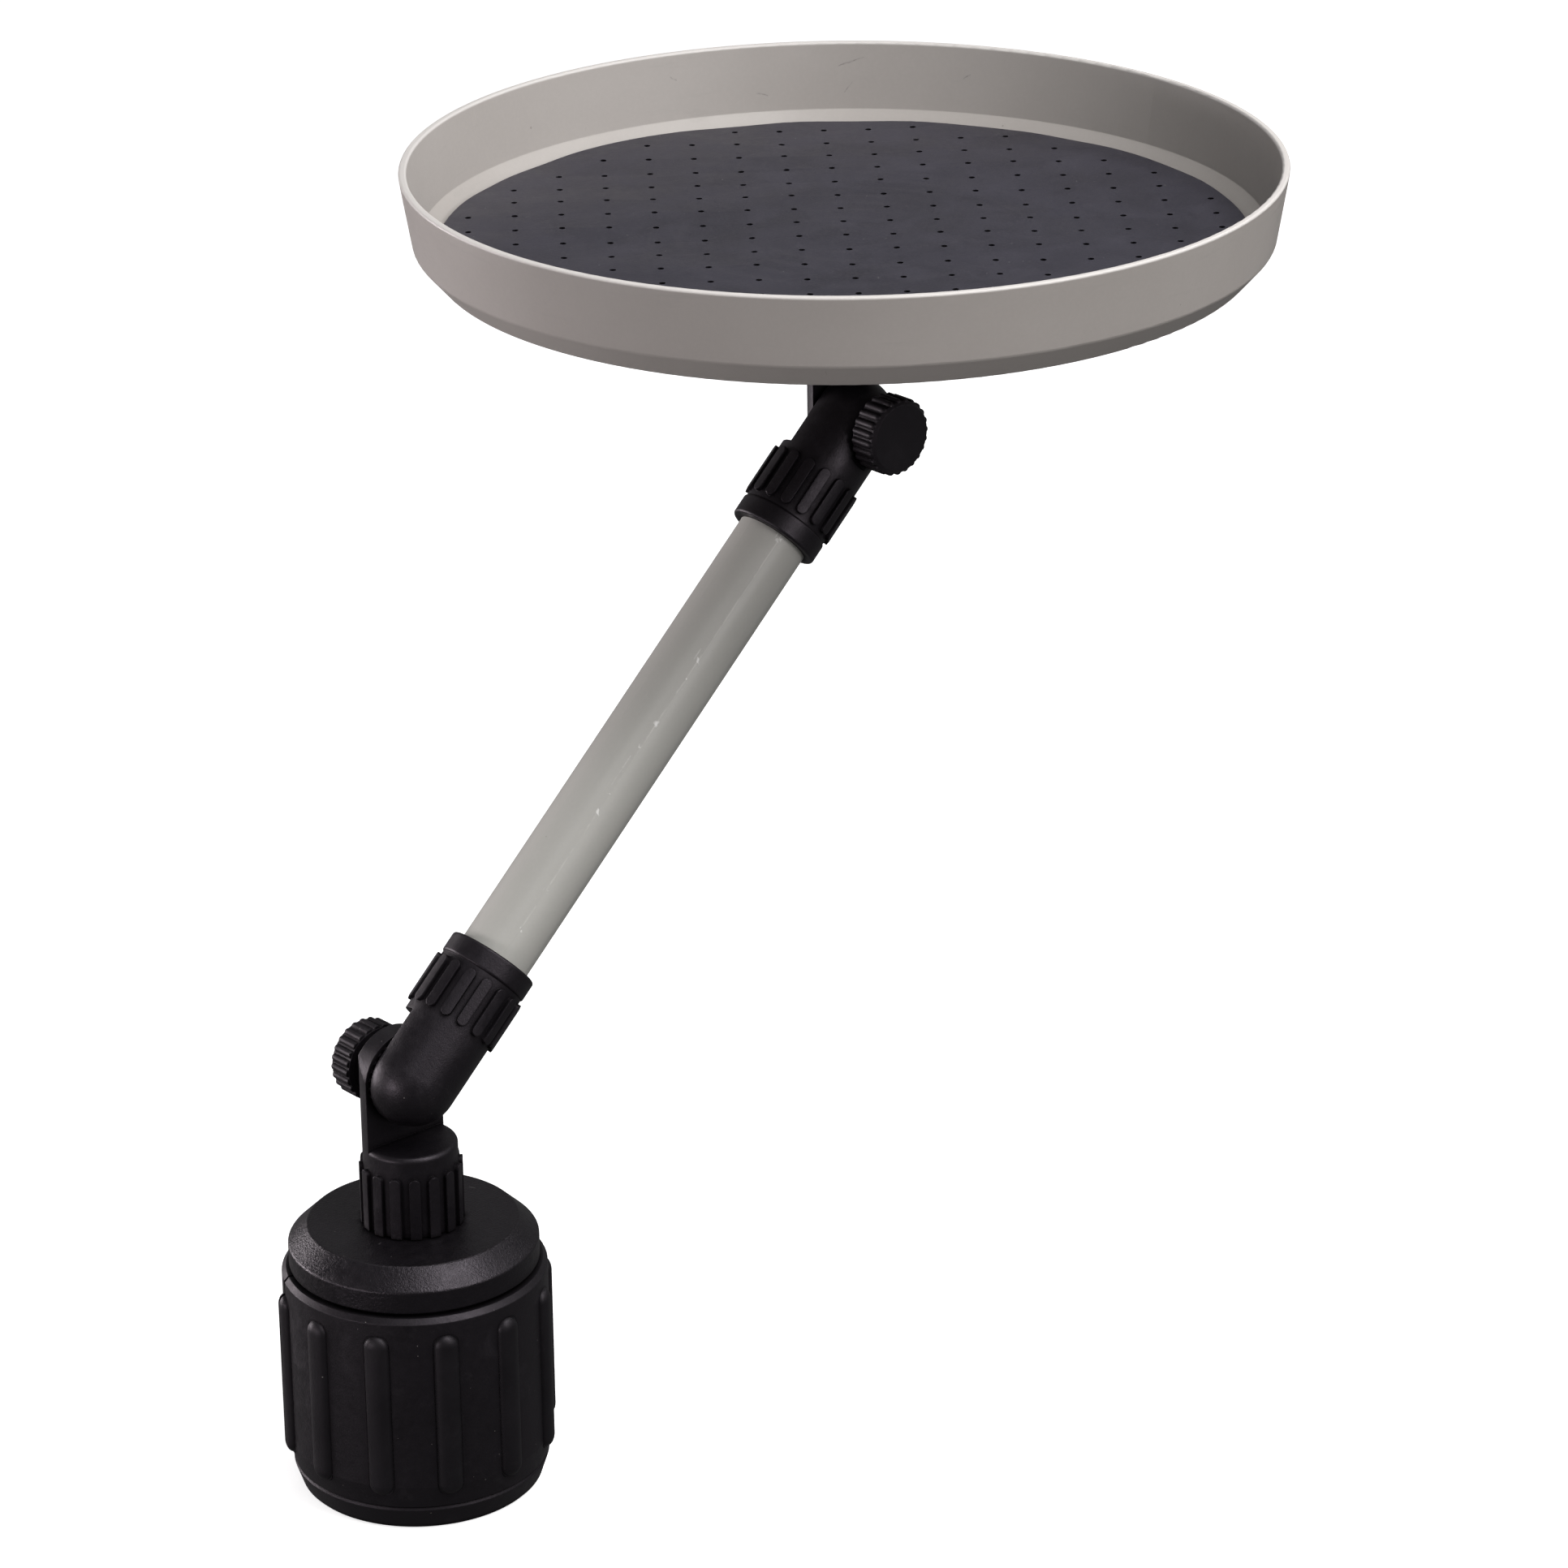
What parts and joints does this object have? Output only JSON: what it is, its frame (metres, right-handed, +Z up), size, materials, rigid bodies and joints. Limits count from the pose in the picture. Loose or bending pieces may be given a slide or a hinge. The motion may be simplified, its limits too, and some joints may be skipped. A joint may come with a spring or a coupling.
{
  "type": "cup holder tray",
  "caption": "Swivel tray table on a jointed arm, standing on an expanding drum that grips a car cup holder.",
  "frame": {"origin": "centre of the underside of the foot, where the drum stands on the floor of a cup holder", "axes": "+Z up along the drum; +X the way the arm leans; the two tilt pins run along Y"},
  "size_m": [0.3073, 0.2328, 0.3314],
  "materials": {
    "black_plastic": "fine satin moulding texture",
    "grey_plastic": "smooth semi-gloss warm grey",
    "white_plastic": "plain low-friction plastic",
    "black_rubber": "matte",
    "charcoal_rubber": "matte, lightly dusty",
    "steel": "zinc plated",
    "brass": "turned"
  },
  "bodies": {
    "base": {"foot_disc": "black_plastic", "foot_screws": "steel", "base_core": "black_plastic", "guide_rods": "steel"},
    "front_jaw": {"jaw_front": "black_plastic", "grip_bars_front": "black_rubber"},
    "back_jaw": {"jaw_back": "black_plastic", "grip_bars_back": "black_rubber"},
    "dial": {"dial_cap": "black_plastic", "cam_disc": "white_plastic", "cam_screws": "steel"},
    "post": {"swivel_post": "black_plastic", "swivel_insert": "brass", "swivel_bolt": "steel", "swivel_washer": "steel"},
    "arm": {"lower_elbow": "black_plastic", "lower_insert": "brass", "arm_tube": "grey_plastic", "upper_elbow": "black_plastic"},
    "low_knob": {"lower_knob": "black_plastic", "lower_stud": "steel", "lower_washer": "steel"},
    "top_knob": {"upper_knob": "black_plastic", "upper_stud": "steel", "upper_washer": "steel"},
    "tray_top": {"tray_stem": "black_plastic", "upper_insert": "brass", "tray": "grey_plastic", "tray_screws": "steel", "tray_mat": "charcoal_rubber"}
  },
  "joints": [
    {"name": "dial_turn", "type": "hinge", "parent": "base", "child": "dial", "pos_m": [0, 0, 0.07], "axis": [0, 0, 1], "range_deg": [0, 150]},
    {"name": "front_jaw_slide", "type": "slide", "parent": "base", "child": "front_jaw", "axis": [-0.4226, -0.9063, 0], "range_m": [0, 0.008]},
    {"name": "back_jaw_slide", "type": "slide", "parent": "base", "child": "back_jaw", "axis": [0.4226, 0.9063, 0], "range_m": [0, 0.008]},
    {"name": "post_swivel", "type": "hinge", "parent": "base", "child": "post", "pos_m": [0, 0, 0.0751], "axis": [0, 0, 1], "continuous": true},
    {"name": "lower_tilt", "type": "hinge", "parent": "post", "child": "arm", "pos_m": [0, 0, 0.1155], "axis": [0, 1, 0], "range_deg": [-45, 35]},
    {"name": "lower_knob_turn", "type": "hinge", "parent": "post", "child": "low_knob", "pos_m": [0, 0.014, 0.1155], "axis": [0, 1, 0], "range_deg": [0, 360]},
    {"name": "upper_tilt", "type": "hinge", "parent": "arm", "child": "tray_top", "pos_m": [0.154, 0, 0.26], "axis": [0, 1, 0], "range_deg": [-45, 45]},
    {"name": "upper_knob_turn", "type": "hinge", "parent": "arm", "child": "top_knob", "pos_m": [0.154, -0.018, 0.26], "axis": [0, -1, 0], "range_deg": [0, 360]}
  ],
  "couplings": [
    {"joint": "front_jaw_slide", "follows": "dial_turn", "m_per_rad": 0.0030558},
    {"joint": "back_jaw_slide", "follows": "dial_turn", "m_per_rad": 0.0030558}
  ]
}
